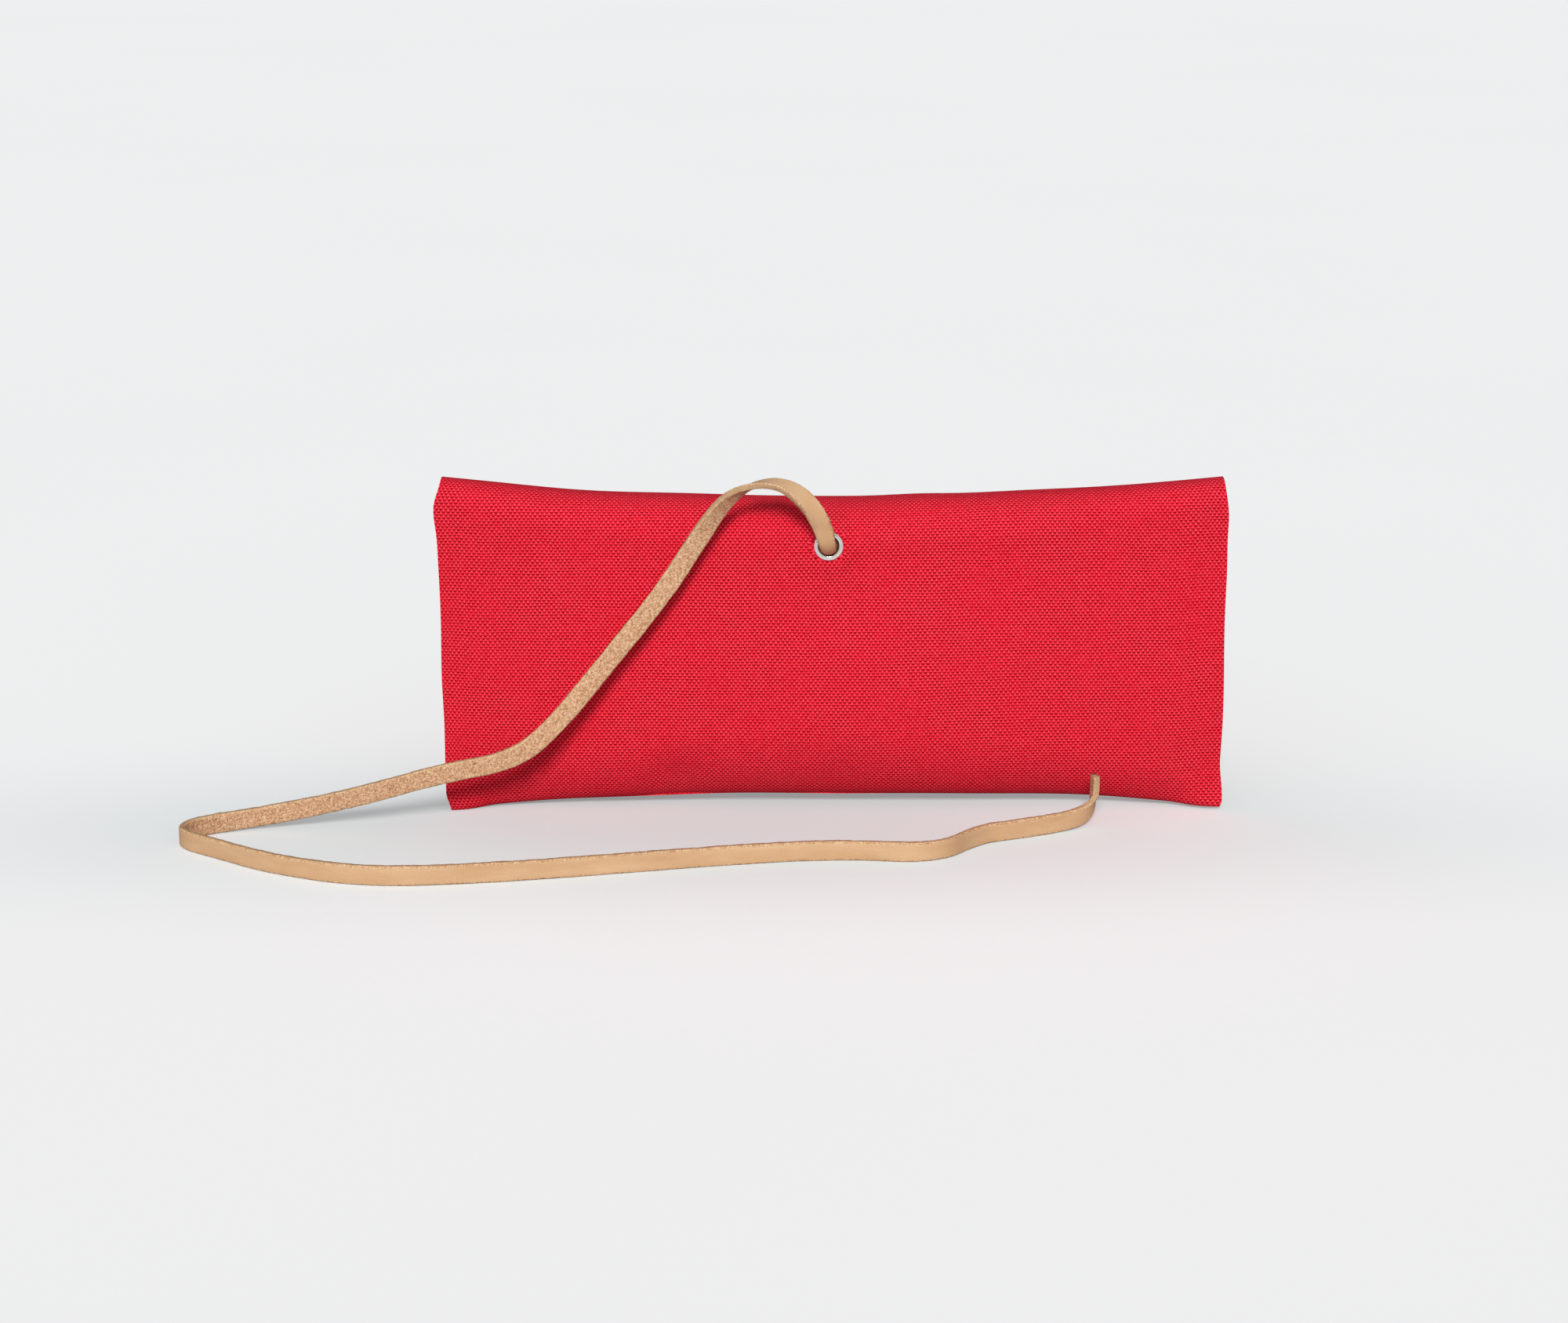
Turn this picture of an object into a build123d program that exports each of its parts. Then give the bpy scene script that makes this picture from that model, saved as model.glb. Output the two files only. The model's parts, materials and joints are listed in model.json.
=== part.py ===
from build123d import *
from math import atan2, cos, degrees, pi, radians, sin, sqrt, tan
import os

# A canvas fold-over pouch, standing on its long bottom edge. X runs along the pouch, +Y points
# to the side that the flap covers, +Z is up. The panel with the eyelet faces -Y.
# All lengths are in millimetres and all angles in degrees.

# Pouch form. The pouch is slack and deep in the middle, flatter and taller at its two ends.
half_width = 100.0
middle_depth = 24.0
end_depth = 11.0
middle_top = 80.5
end_top = 86.5
middle_bottom = 3.0
end_bottom = -0.5  # the corners are flattened where they stand on z = 0
corner_share = 0.45  # corner radius as a share of the depth

# The flap turns on a straight fold that lies in the outer face of the eyelet panel.
fold_y = -9.03
fold_z = 76.5
fold_gap = 0.15  # left open on each side of the fold

# Cloth
canvas = 1.2
lining = 0.6
cloth = canvas + lining
flap_clearance = 0.6  # between the pocket wall and the flap that hangs over it
flap_room = cloth + flap_clearance
seam_width = 8.0
mouth_z = 62.0
mouth_y = -5.6  # the mouth lies behind this plane, the eyelet panel in front of it
flap_hem_z = 24.0

# Sewing thread
thread = 0.5
thread_proud = 0.3
stitch_pitch = 3.0
stitch_length = 2.2
hem_margin = 4.0

# Eyelet: a flanged barrel and the washer that it is rolled over
eyelet_x = -0.8
eyelet_z = 70.6
bore_radius = 2.5
barrel_radius = 2.9
flange_radius = 3.75
washer_radius = 3.9
washer_thickness = 0.5
flange_start = 0.3
flange_height = 0.95
flange_middle = 3.1
roll_radius = 3.4
roll_depth = 0.45
fit_gap = 0.1  # between the washer and the cloth round it, and between the roll and the knot

# Tie lace: a flat leather lace, 5 mm wide. Its tube is round and stands in for the flat lace.
lace_radius = 2.3
knot_radius = 4.4
knot_length = 6.0
lace_exit = 3.6  # how far in front of the panel the lace has its first bend
arc_share = 0.45

reach = 400.0  # larger than the pouch, for the blocks that trim it


def taper(middle, end, x):
    """A value that changes from the middle of the pouch to its ends as a parabola."""
    return middle + (end - middle) * (x / half_width) ** 2


def corner_radius(x):
    return corner_share * taper(middle_depth, end_depth, x)


def front_y(x):
    """The eyelet panel's plane, set so that the outline passes through the fold at fold_z."""
    radius = corner_radius(x)
    rise = max(fold_z - taper(middle_top, end_top, x) + radius, 0.0)
    return fold_y - radius + sqrt(radius**2 - rise**2)


def outline(x, inset, back_room):
    """The closed outline at x, moved in by inset all round and by back_room at the back too."""
    radius = corner_radius(x)
    front = front_y(x)
    back = front + taper(middle_depth, end_depth, x)
    top = taper(middle_top, end_top, x) - inset
    bottom = taper(middle_bottom, end_bottom, x) + inset
    front_radius = radius - inset
    back_radius = radius - inset - back_room
    y0, y1, y2, y3 = front + inset, front + radius, back - radius, back - back_room - inset
    Line((y0, bottom + front_radius), (y0, top - front_radius))
    CenterArc((y1, top - front_radius), front_radius, 180, -90)
    Line((y1, top), (y2, top))
    CenterArc((y2, top - back_radius), back_radius, 90, -90)
    Line((y3, top - back_radius), (y3, bottom + back_radius))
    CenterArc((y2, bottom + back_radius), back_radius, 0, -90)
    Line((y2, bottom), (y1, bottom))
    CenterArc((y1, bottom + front_radius), front_radius, 270, -90)


def stations(end):
    """Where the form's outlines stand, from one end to the other."""
    return [end * share for share in (-1.0, -0.8, -0.45, 0.0, 0.45, 0.8, 1.0)]


def form(end, inset, back_room):
    """The solid whose outlines run from -end to end, moved in as outline says."""
    with BuildPart() as solid:
        for x in stations(end):
            with BuildSketch(Plane.YZ.offset(x)):
                with BuildLine():
                    outline(x, inset, back_room)
                make_face()
        loft()
    return solid.part


# Forms that the cloth layers are cut from
flap_outside = form(half_width, 0.0, 0.0)
flap_between = form(half_width + 1, canvas, 0.0)
flap_inside = form(half_width + 1, cloth, 0.0)
pouch_outside = form(half_width, 0.0, flap_room)
pouch_between = form(half_width - canvas, canvas, flap_room)
pouch_inside = form(half_width - canvas - seam_width - lining, cloth, flap_room)
mouth_thread_outside = form(half_width, -thread_proud, flap_room)
flap_thread_outside = form(half_width, -thread_proud, 0.0)

# What is cut away: everything behind the eyelet panel above the mouth, the panel above the fold
# and whatever would reach below the surface that the pouch stands on
mouth_corner = (0, mouth_y, mouth_z)
panel_corner = (0, 0, fold_z - fold_gap)
with BuildPart() as pouch_trim:
    with Locations(mouth_corner):
        Box(reach, reach, reach, align=(Align.CENTER, Align.MIN, Align.MIN))
    with Locations(panel_corner):
        Box(reach, reach, reach, align=(Align.CENTER, Align.CENTER, Align.MIN))
    Box(reach, reach, reach, align=(Align.CENTER, Align.CENTER, Align.MAX))

# The flap keeps what is above the fold, and its hanging part down to the hem
with BuildPart() as flap_trim:
    with Locations((0, mouth_y, fold_z + fold_gap)):
        Box(reach, reach, reach, align=(Align.CENTER, Align.MAX, Align.MAX))
    with Locations((0, 0, flap_hem_z)):
        Box(reach, reach, reach, align=(Align.CENTER, Align.CENTER, Align.MAX))

# Eyelet, on an axis square to the panel where it sits
middle_radius = corner_radius(eyelet_x)
eyelet_rise = eyelet_z - (taper(middle_top, end_top, eyelet_x) - middle_radius)
eyelet_tilt = degrees(atan2(eyelet_rise, sqrt(middle_radius**2 - eyelet_rise**2)))
eyelet_y = front_y(eyelet_x) + middle_radius - sqrt(middle_radius**2 - eyelet_rise**2)
eyelet_centre = Vector(eyelet_x, eyelet_y, eyelet_z)
outward = Vector(0, -cos(radians(eyelet_tilt)), sin(radians(eyelet_tilt)))
eyelet_plane = Plane(origin=eyelet_centre, x_dir=(1, 0, 0), z_dir=outward)
profile_plane = Plane(origin=eyelet_centre, x_dir=(1, 0, 0), z_dir=Vector(1, 0, 0).cross(outward))
eyelet_axis = Axis(eyelet_centre, outward)
washer_top = -cloth
washer_bottom = washer_top - washer_thickness

with BuildPart() as eyelet:
    with BuildSketch(profile_plane):
        with BuildLine():
            Line((bore_radius, washer_bottom), (bore_radius, flange_start))
            ThreePointArc(
                (bore_radius, flange_start),
                (flange_middle, flange_height),
                (flange_radius, 0),
            )
            Line((flange_radius, 0), (barrel_radius, 0))
            Line((barrel_radius, 0), (barrel_radius, washer_bottom))
            Line((barrel_radius, washer_bottom), (roll_radius, washer_bottom))
            ThreePointArc(
                (roll_radius, washer_bottom),
                (barrel_radius, washer_bottom - roll_depth),
                (bore_radius, washer_bottom),
            )
        make_face()
    revolve(axis=eyelet_axis)

with BuildPart() as eyelet_washer:
    with BuildSketch(eyelet_plane.offset(washer_bottom)):
        Circle(washer_radius)
        Circle(barrel_radius, mode=Mode.SUBTRACT)
    extrude(amount=washer_thickness)

# The room that the eyelet and its washer take in the cloth
with BuildPart() as eyelet_room:
    with BuildSketch(eyelet_plane.offset(washer_top)):
        Circle(washer_radius + fit_gap)
    extrude(amount=-2 * cloth)
    with BuildSketch(eyelet_plane.offset(washer_top)):
        Circle(barrel_radius)
    extrude(amount=2 * cloth)

# Topstitching: each row of thread lies on the face of the cloth, a margin in from its hem
thread_length = 2 * (half_width - 2 * hem_margin)
with BuildPart() as mouth_thread:
    with Locations((0, half_width / 2, mouth_z - hem_margin)):
        Box(thread_length, half_width, thread)
    add(mouth_thread_outside, mode=Mode.INTERSECT)
    add(pouch_outside, mode=Mode.SUBTRACT)

with BuildPart() as flap_thread:
    with Locations((0, half_width / 2, flap_hem_z + hem_margin)):
        Box(thread_length, half_width, thread)
    add(flap_thread_outside, mode=Mode.INTERSECT)
    add(flap_outside, mode=Mode.SUBTRACT)

# Pouch: one canvas shell from the fold down the eyelet panel, round the bottom and up the pocket
# wall to the mouth, with closed sides
with BuildPart() as pouch_canvas:
    add(pouch_outside)
    add(pouch_between, mode=Mode.SUBTRACT)
    add(pouch_trim.part, mode=Mode.SUBTRACT)
    add(eyelet_room.part, mode=Mode.SUBTRACT)

# Lining: the same bag in thin cotton, ending at the side seams
lining_length = 2 * (half_width - canvas - seam_width)
with BuildPart() as pouch_lining:
    add(pouch_between)
    Box(lining_length, reach, reach, mode=Mode.INTERSECT)
    add(pouch_inside, mode=Mode.SUBTRACT)
    add(pouch_trim.part, mode=Mode.SUBTRACT)
    add(eyelet_room.part, mode=Mode.SUBTRACT)

# Side seams: the turned-in allowances of both canvas walls lie together behind the eyelet panel,
# between the shell and the end of the lining, and each pair is held by one row of stitches
seam_x = half_width - canvas - seam_width / 2
seam_y = fold_y + 3 * canvas
seam_top = mouth_z - hem_margin
seam_foot = 6.0
seam_stitch_x = seam_x + 2.0
stitch_count = int((seam_top - seam_foot) / stitch_pitch)
stitch_z = [seam_foot + stitch_pitch * (i + 0.5) for i in range(stitch_count)]
side_seams = {}
for side, hand in ((-1, "left"), (1, "right")):
    with BuildPart() as side_thread:
        with Locations([(side * seam_stitch_x, seam_y, z) for z in stitch_z]):
            Box(thread, 2 * canvas, stitch_length, align=(Align.CENTER, Align.MAX, Align.CENTER))
        add(pouch_between, mode=Mode.INTERSECT)
    with BuildPart() as side_seam:
        with Locations((side * seam_x, seam_y, seam_foot)):
            Box(seam_width, reach, seam_top - seam_foot, align=(Align.CENTER, Align.MAX, Align.MIN))
        add(pouch_between, mode=Mode.INTERSECT)
        add(side_thread.part, mode=Mode.SUBTRACT)
    side_seams[f"{hand}_seam_allowance"] = side_seam
    side_seams[f"{hand}_seam_thread"] = side_thread

# Flap: the canvas and lining that turn over the top from the fold and hang down to the hem
with BuildPart() as flap_canvas:
    add(flap_outside)
    add(flap_between, mode=Mode.SUBTRACT)
    add(flap_trim.part, mode=Mode.SUBTRACT)

with BuildPart() as flap_lining:
    add(flap_between)
    Box(2 * half_width, reach, reach, mode=Mode.INTERSECT)
    add(flap_inside, mode=Mode.SUBTRACT)
    add(flap_trim.part, mode=Mode.SUBTRACT)

# Stopper knot behind the washer, flat where the lace leaves it
knot_top = washer_bottom - roll_depth - fit_gap
with BuildPart() as lace_knot:
    with BuildSketch(profile_plane):
        with BuildLine():
            Line((0, knot_top), (lace_radius, knot_top))
            ThreePointArc(
                (lace_radius, knot_top),
                (knot_radius, knot_top - knot_length / 2),
                (lace_radius, knot_top - knot_length),
            )
            Line((lace_radius, knot_top - knot_length), (0, knot_top - knot_length))
            Line((0, knot_top - knot_length), (0, knot_top))
        make_face()
    revolve(axis=eyelet_axis)

# The lace leaves the knot through the eyelet, rises in an arch over the fold, comes down across
# the panel to the floor, turns back at the far left and lies along the floor to its cut end.
lace_start = eyelet_centre + outward * knot_top
lace_out = eyelet_centre + outward * lace_exit
lace_route = [
    tuple(lace_start),
    tuple(lace_out),
    (-2.4, -18.0, 77.4),
    (-6.4, -20.2, 84.2),
    (-12.4, -20.8, 88.6),
    (-19.6, -20.4, 88.4),
    (-26.4, -19.4, 84.4),
    (-33.0, -18.4, 74.6),
    (-42.4, -18.8, 59.8),
    (-55.6, -19.8, 43.6),
    (-69.2, -22.4, 27.0),
    (-79.6, -25.2, 18.6),
    (-98.0, -27.2, 15.8),
    (-120.0, -25.4, 8.8),
    (-143.0, -23.2, 3.4),
    (-156.6, -27.2, 2.5),
    (-162.4, -33.2, 2.5),
    (-161.2, -39.4, 2.5),
    (-152.0, -46.4, 2.5),
    (-136.0, -59.0, 2.5),
    (-112.0, -68.8, 2.5),
    (-82.0, -65.4, 2.5),
    (-50.0, -57.8, 2.5),
    (-24.0, -51.4, 2.5),
    (2.0, -47.2, 2.5),
    (25.6, -50.8, 2.5),
    (36.6, -35.2, 2.5),
    (46.2, -31.4, 2.5),
    (59.2, -25.0, 2.5),
    (65.0, -20.8, 3.4),
    (67.0, -18.8, 7.6),
    (66.8, -18.4, 12.6),
]


def corner_arcs(route):
    """Each corner's arc takes its share of the shorter of the two runs that meet there."""
    found = []
    for before, corner, after in zip(route, route[1:], route[2:]):
        run_in = Vector(*corner) - Vector(*before)
        run_out = Vector(*after) - Vector(*corner)
        turn = radians(run_in.get_angle(run_out))
        found.append(arc_share * min(run_in.length, run_out.length) / tan(turn / 2))
    return found


lace_radii = corner_arcs(lace_route)
with BuildPart() as tie_lace:
    with BuildLine():
        lace_line = FilletPolyline(*lace_route, radius=lace_radii)
    with BuildSketch(Plane(origin=lace_line @ 0, z_dir=lace_line % 0)):
        Circle(lace_radius)
    sweep()

print("lace arc radii", [round(radius, 1) for radius in lace_radii])
lace_section = pi * lace_radius**2
print("lace length", round(lace_line.length, 1), "tube volume", round(tie_lace.part.volume, 1))
print("section times length", round(lace_section * lace_line.length, 1))

nodes = {
    "pouch_canvas": pouch_canvas,
    "pouch_lining": pouch_lining,
    "mouth_thread": mouth_thread,
    "eyelet": eyelet,
    "eyelet_washer": eyelet_washer,
    "lace_knot": lace_knot,
    "tie_lace": tie_lace,
    "flap_canvas": flap_canvas,
    "flap_lining": flap_lining,
    "flap_thread": flap_thread,
    **side_seams,
}
os.makedirs("parts", exist_ok=True)
for name, node in nodes.items():
    node.part.label = name
    export_step(node.part, f"parts/{name}.step")
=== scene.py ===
import json
from math import atan2, copysign, cos, pi, radians, sin, sqrt

import bmesh
import bpy
import numpy as np
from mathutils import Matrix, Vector


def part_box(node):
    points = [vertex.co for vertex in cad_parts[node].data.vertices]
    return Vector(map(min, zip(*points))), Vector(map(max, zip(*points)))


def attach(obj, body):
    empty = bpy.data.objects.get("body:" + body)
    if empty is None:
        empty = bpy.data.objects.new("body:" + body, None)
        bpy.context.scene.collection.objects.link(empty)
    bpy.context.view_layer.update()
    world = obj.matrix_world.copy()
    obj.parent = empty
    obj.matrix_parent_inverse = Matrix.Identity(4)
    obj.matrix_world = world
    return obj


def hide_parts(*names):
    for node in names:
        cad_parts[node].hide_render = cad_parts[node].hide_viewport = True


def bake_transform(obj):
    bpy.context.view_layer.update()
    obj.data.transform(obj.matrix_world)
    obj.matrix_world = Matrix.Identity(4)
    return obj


# A red canvas fold-over pouch with a nickel eyelet and a flat leather tie lace. Lengths in this
# script are in millimetres until a mesh is made, and MM turns them into metres.
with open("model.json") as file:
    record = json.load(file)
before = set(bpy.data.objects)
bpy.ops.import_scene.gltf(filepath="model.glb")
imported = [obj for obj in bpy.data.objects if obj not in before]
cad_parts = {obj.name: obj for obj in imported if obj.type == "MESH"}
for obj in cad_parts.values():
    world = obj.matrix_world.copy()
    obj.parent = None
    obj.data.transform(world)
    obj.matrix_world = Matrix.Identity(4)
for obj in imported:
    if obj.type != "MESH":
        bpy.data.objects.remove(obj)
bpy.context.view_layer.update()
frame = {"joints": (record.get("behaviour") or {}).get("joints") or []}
MM = 0.001

# ---------------------------------------------------------------- sizes taken from the frame
joint = frame["joints"][0]
fold_y, fold_z = joint["pos_m"][1] / MM, joint["pos_m"][2] / MM
flap_low, flap_high = (Vector(corner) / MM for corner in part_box("flap_canvas"))
pouch_low = Vector(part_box("pouch_canvas")[0]) / MM
eyelet_low, eyelet_high = (Vector(corner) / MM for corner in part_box("eyelet"))
half_width = flap_high.x
end_top = flap_high.z
flap_hem_z = flap_low.z
middle_front = pouch_low.y
middle_depth = flap_high.y - middle_front

# The rest of the pouch's form: it is slack and deep in the middle, flatter and taller at its ends
end_depth = 11.0
middle_top = 80.5
middle_bottom = 3.0
end_bottom = -0.5
corner_share = 0.45
mouth_z = 62.0
flap_room = 2.4  # how far the pocket wall lies inside the flap's outer face
seam_start = 86.0  # from here to the ends the pocket wall closes in on the eyelet panel
seam_angle = 78.0  # how far round the bottom fold the eyelet panel's cloth starts
foot_stretch = 2.0  # the eyelet panel's bottom curve is this much taller than it is deep
belly_top = 69.0  # the walls bulge a little between the bottom and this height
belly_depth = 1.9
tuck_height = 26.0  # below this the bottom corners are drawn back
corner_tuck = 1.2

# Cloth and sewing
canvas = 1.2
lining = 0.55
canvas_rounding = 0.45
lining_rounding = 0.15
panel_grid = (161, 301)  # columns across the pouch and rows up the cloth
pocket_grid = (161, 121)
panel_lining_grid = (121, 241)
pocket_lining_grid = (121, 101)
ply_gap = 0.05
lining_inset = canvas + 0.25  # the lining lies a little clear of the canvas
seam_depth = 2 * canvas + ply_gap
hem_radius = canvas + ply_gap
hem_width = 8.0
hem_margin = 4.0
lining_half = 95.5
lining_top = mouth_z - hem_width - 0.4
lining_end_z = flap_hem_z + 4.0  # the flap's hem is turned in over the lining's end
hole_radius = 3.05
stitch_pitch = 3.0
stitch_length = 2.3
stitch_width = 0.55
stitch_proud = 0.45
first_stitch = 1.1  # the side seams' first stitch stands this far above the thread's lower end
ply_thickness = 1.05
ply_rounding = 0.3
panel_ply_share = 0.1  # where each ply's face stands through the seam allowance's depth
pocket_ply_share = 0.6


# ---------------------------------------------------------------- small helpers
def smooth(value, low, high):
    t = np.clip((value - low) / (high - low), 0.0, 1.0)
    return t * t * (3.0 - 2.0 * t)


def hump(value, centre, width):
    """1 at centre, and falling away smoothly to 0 on both sides of it."""
    return np.exp(-(((value - centre) / width) ** 2))


def new_object(name, mesh):
    made = bpy.data.objects.new(name, mesh)
    bpy.context.scene.collection.objects.link(made)
    return made


def shade_smooth(mesh):
    mesh.polygons.foreach_set("use_smooth", [True] * len(mesh.polygons))


def mesh_of(name, points, faces, cloth=None):
    """A smooth mesh from points in millimetres, with each point's place on the flat cloth."""
    mesh = bpy.data.meshes.new(name)
    mesh.from_pydata((np.asarray(points) * MM).tolist(), [], faces)
    if cloth is not None:
        attribute = mesh.attributes.new("cloth", "FLOAT_VECTOR", "POINT")
        attribute.data.foreach_set("vector", np.asarray(cloth, np.float32).ravel())
    shade_smooth(mesh)
    return mesh


def grid_faces(columns, rows):
    """The faces between points that are listed column by column."""
    return [
        (i * rows + k, (i + 1) * rows + k, (i + 1) * rows + k + 1, i * rows + k + 1)
        for i in range(columns - 1)
        for k in range(rows - 1)
    ]


def takes_over(piece, body, node):
    """The piece rides on the body and replaces the CAD node."""
    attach(piece, body)
    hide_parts(node)
    return piece


def applied(piece):
    """The piece's mesh with its modifiers applied, put back on the piece."""
    graph = bpy.context.evaluated_depsgraph_get()
    mesh = bpy.data.meshes.new_from_object(
        piece.evaluated_get(graph), preserve_all_data_layers=True, depsgraph=graph
    )
    piece.modifiers.clear()
    piece.data = mesh
    return piece


# ---------------------------------------------------------------- materials
class Paint:
    """A material's node graph, with one Principled shader."""

    def __init__(self, name):
        self.material = bpy.data.materials.new(name)
        self.material.use_nodes = True
        self.tree = self.material.node_tree
        self.tree.nodes.clear()
        self.output = self.node("OutputMaterial")
        self.shader = self.node("BsdfPrincipled")
        self.tree.links.new(self.shader.outputs[0], self.output.inputs[0])

    def node(self, kind):
        return self.tree.nodes.new("ShaderNode" + kind)

    def put(self, value, socket):
        if hasattr(value, "is_output"):
            self.tree.links.new(value, socket)
        else:
            socket.default_value = value

    def math(self, operation, *values, clamp=False):
        node = self.node("Math")
        node.operation = operation
        node.use_clamp = clamp
        for value, socket in zip(values, node.inputs):
            self.put(value, socket)
        return node.outputs[0]

    def attribute(self, name):
        node = self.node("Attribute")
        node.attribute_name = name
        split = self.node("SeparateXYZ")
        self.tree.links.new(node.outputs["Vector"], split.inputs[0])
        return node.outputs["Vector"], split.outputs[0], split.outputs[1]

    def place(self, x, y, z=0.0):
        node = self.node("CombineXYZ")
        for value, socket in zip((x, y, z), node.inputs):
            self.put(value, socket)
        return node.outputs[0]

    def noise(self, vector, scale, detail=2.0, roughness=0.5):
        node = self.node("TexNoise")
        self.put(vector, node.inputs["Vector"])
        node.inputs["Scale"].default_value = scale
        node.inputs["Detail"].default_value = detail
        node.inputs["Roughness"].default_value = roughness
        return node.outputs["Fac"]

    def random(self, vector):
        """A steady random number from 0 to 1 for each place given."""
        node = self.node("TexWhiteNoise")
        node.noise_dimensions = "3D"
        self.put(vector, node.inputs["Vector"])
        return node.outputs["Value"]

    def ramp(self, factor, *stops):
        node = self.node("ValToRGB")
        self.put(factor, node.inputs[0])
        steps = node.color_ramp.elements
        while len(steps) < len(stops):
            steps.new(0.5)
        for step, (position, colour) in zip(steps, stops):
            step.position = position
            step.color = (*colour, 1.0)
        return node.outputs[0]

    def mix(self, factor, a, b, blend="MIX"):
        node = self.node("Mix")
        node.data_type = "RGBA"
        node.blend_type = blend
        for value, socket in zip((factor, a, b), (node.inputs[0], node.inputs[6], node.inputs[7])):
            self.put((*value, 1.0) if isinstance(value, tuple) and len(value) == 3 else value, socket)
        return node.outputs[2]

    def spread(self, value, low, high, new_low, new_high):
        node = self.node("MapRange")
        for number, socket in zip((value, low, high, new_low, new_high), node.inputs):
            self.put(number, socket)
        return node.outputs[0]

    def bump(self, height, distance, strength=1.0, under=None):
        node = self.node("Bump")
        node.inputs["Distance"].default_value = distance
        node.inputs["Strength"].default_value = strength
        self.put(height, node.inputs["Height"])
        if under is not None:
            self.put(under, node.inputs["Normal"])
        return node.outputs[0]

    def set(self, **sockets):
        for name, value in sockets.items():
            self.put(value, self.shader.inputs[name.replace("_", " ")])
        return self.material


# One cell of the plain weave, in shares of a cell: where each part lies and how far it spreads
warp_height, warp_spread = 0.47, (0.16, 0.22)
weft_height, weft_spread, weft_amount = 0.13, 0.17, 0.16
hollow_height, hollow_curve, hollow_spread, hollow_reach = 0.6, 2.7, 0.17, 0.36
# How unlike each other the bumps and the hollows are, and how far the lattice wanders
warp_chance, hollow_chance = (0.35, 1.25), (0.5, 1.2)
wander_across, wander_along = 1.0, 0.7
fibre_amount = 0.9


def woven(name, pitch, row, dark, middle, light, depth, roughness):
    """Plain weave: warp bumps stand pitch millimetres apart along each weft row, staggered from
    row to row, and rows are row millimetres apart. depth is the bump's, in metres."""
    paint = Paint(name)
    place, across, along = paint.attribute("cloth")
    # The lattice wanders a little, because threads are never quite straight.
    wander_x = paint.math("SUBTRACT", paint.noise(place, 0.09, 1.0), 0.5)
    wander_y = paint.math("SUBTRACT", paint.noise(paint.place(along, across), 0.07, 1.0), 0.5)
    v = paint.math("DIVIDE", paint.math("MULTIPLY_ADD", wander_y, wander_along * row, along), row)
    number = paint.math("FLOOR", v)
    up = paint.math("FRACT", v)
    u = paint.math("DIVIDE", paint.math("MULTIPLY_ADD", wander_x, wander_across * pitch, across), pitch)
    u = paint.math("MULTIPLY_ADD", number, 0.5, u)
    from_bump = paint.math("PINGPONG", u, 0.5)
    from_gap = paint.math("SUBTRACT", 0.5, from_bump)

    def far(value, centre, width):
        """How far value is from centre, counted in widths, squared."""
        off = paint.math("DIVIDE", paint.math("SUBTRACT", value, centre), width)
        return paint.math("MULTIPLY", off, off)

    def hill(*distances):
        total = distances[0]
        for distance in distances[1:]:
            total = paint.math("ADD", total, distance)
        return paint.math("EXPONENT", paint.math("MULTIPLY", total, -1.0))

    # A row is a weft thread with a round warp bump on it, then a hollow that curves up at its ends.
    cell = paint.place(paint.math("FLOOR", paint.math("ADD", u, 0.5)), number)
    gap_cell = paint.place(paint.math("FLOOR", u), number, 7.0)
    bump = paint.math(
        "MULTIPLY",
        hill(far(from_bump, 0.0, warp_spread[0]), far(up, warp_height, warp_spread[1])),
        paint.spread(paint.random(cell), 0.0, 1.0, *warp_chance),
    )
    weft = paint.math("MULTIPLY", hill(far(up, weft_height, weft_spread)), weft_amount)
    curve = paint.math("MULTIPLY", from_gap, from_gap)
    smile = paint.math("MULTIPLY_ADD", curve, hollow_curve, hollow_height)
    off_smile = far(paint.math("SUBTRACT", up, smile), 0.0, hollow_spread)
    ends = far(from_gap, 0.0, hollow_reach)
    hollow = paint.math(
        "MULTIPLY",
        hill(off_smile, paint.math("MULTIPLY", ends, ends)),
        paint.spread(paint.random(gap_cell), 0.0, 1.0, *hollow_chance),
    )
    height = paint.math("SUBTRACT", paint.math("ADD", bump, weft), hollow)
    pressed = paint.spread(paint.noise(place, 0.06, 2.0), 0.35, 0.65, 0.75, 1.1)
    height = paint.math("MULTIPLY", height, pressed)
    fibre = paint.noise(place, 6.0, 4.0, 0.7)
    lit = paint.math("MULTIPLY_ADD", paint.math("SUBTRACT", fibre, 0.5), fibre_amount, height)
    # The colour follows the weave's height: painted shade in the hollows and a painted highlight on the
    # bumps, over the fibre's own mottling
    colour = paint.ramp(paint.math("ADD", lit, 0.5), (0.08, dark), (0.52, middle), (1.0, light))
    rough = paint.spread(fibre, 0.3, 0.7, roughness - 0.06, roughness + 0.06)
    fine = paint.bump(fibre, depth * 0.3, 0.6)
    return paint.set(
        Base_Color=colour,
        Roughness=rough,
        Normal=paint.bump(height, depth, 1.0, fine),
        Specular_IOR_Level=0.06,
    )


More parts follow.
